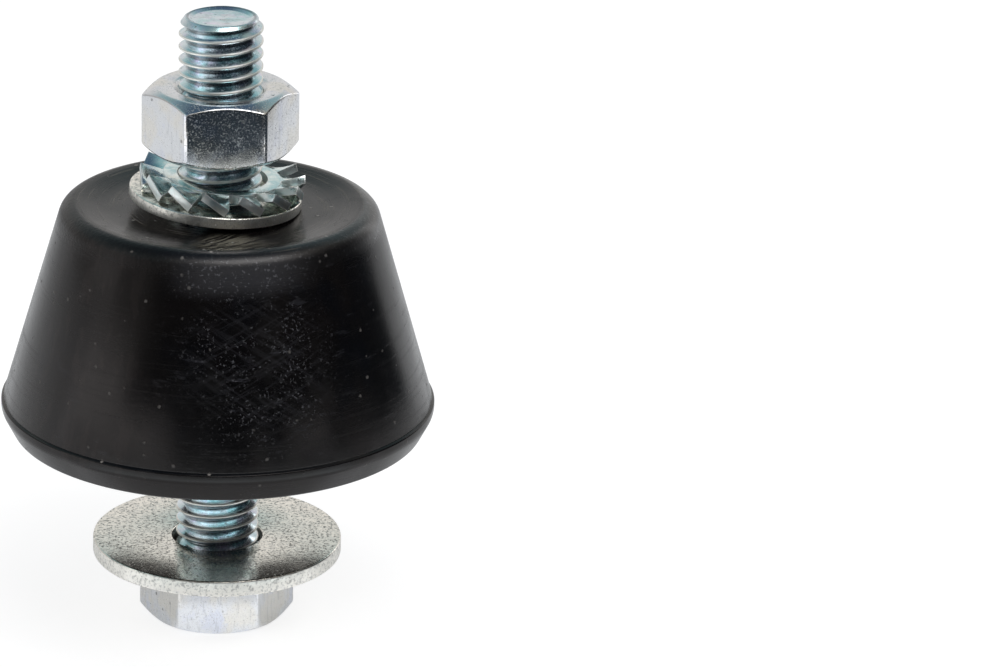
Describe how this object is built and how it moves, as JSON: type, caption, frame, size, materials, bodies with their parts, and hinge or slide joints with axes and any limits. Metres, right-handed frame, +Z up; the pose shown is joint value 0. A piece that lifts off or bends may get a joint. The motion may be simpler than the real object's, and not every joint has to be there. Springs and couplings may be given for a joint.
{
  "type": "bobbin vibration mount",
  "caption": "Conical rubber vibration mount with a threaded stud at each end, hexagon nuts, a wide washer below the foot, and a plain and a toothed lock washer on the crown",
  "frame": {"origin": "centre of the lower nut's end face, on which the mount stands; it is also the bottom centre of the bounding box", "axes": "+Z up along both studs; a flat of the lower nut faces -Y, turned 1.5 degrees; the plain washer is raised towards -X"},
  "size_m": [0.0416, 0.0416, 0.0604],
  "materials": {
    "rubber": "satin moulded natural rubber, faintly scuffed",
    "plate_steel": "bare steel sealed in the rubber",
    "stud_zinc": "bright zinc plate with a bluish passivate on a rolled thread",
    "washer_zinc": "dull zinc plate, finely pitted",
    "lock_washer_zinc": "bright zinc plate on sheared spring steel",
    "nut_zinc": "bright zinc plate with fine drawing marks on the flats"
  },
  "bodies": {
    "mount": {"rubber_body": "rubber", "base_plate": "plate_steel", "base_stud": "stud_zinc", "top_plate": "plate_steel", "top_stud": "stud_zinc", "flat_washer": "washer_zinc", "tooth_lock_washer": "lock_washer_zinc"},
    "top_nut": {"top_nut": "nut_zinc"},
    "lower_nut": {"lower_nut": "nut_zinc", "wide_washer": "washer_zinc"}
  },
  "joints": [
    {"name": "top_nut_travel", "type": "slide", "parent": "mount", "child": "top_nut", "axis": [0, 0, 1], "range_m": [-0.00125, 0.00625]},
    {"name": "lower_nut_travel", "type": "slide", "parent": "mount", "child": "lower_nut", "axis": [0, 0, 1], "range_m": [0, 0.01125]}
  ]
}
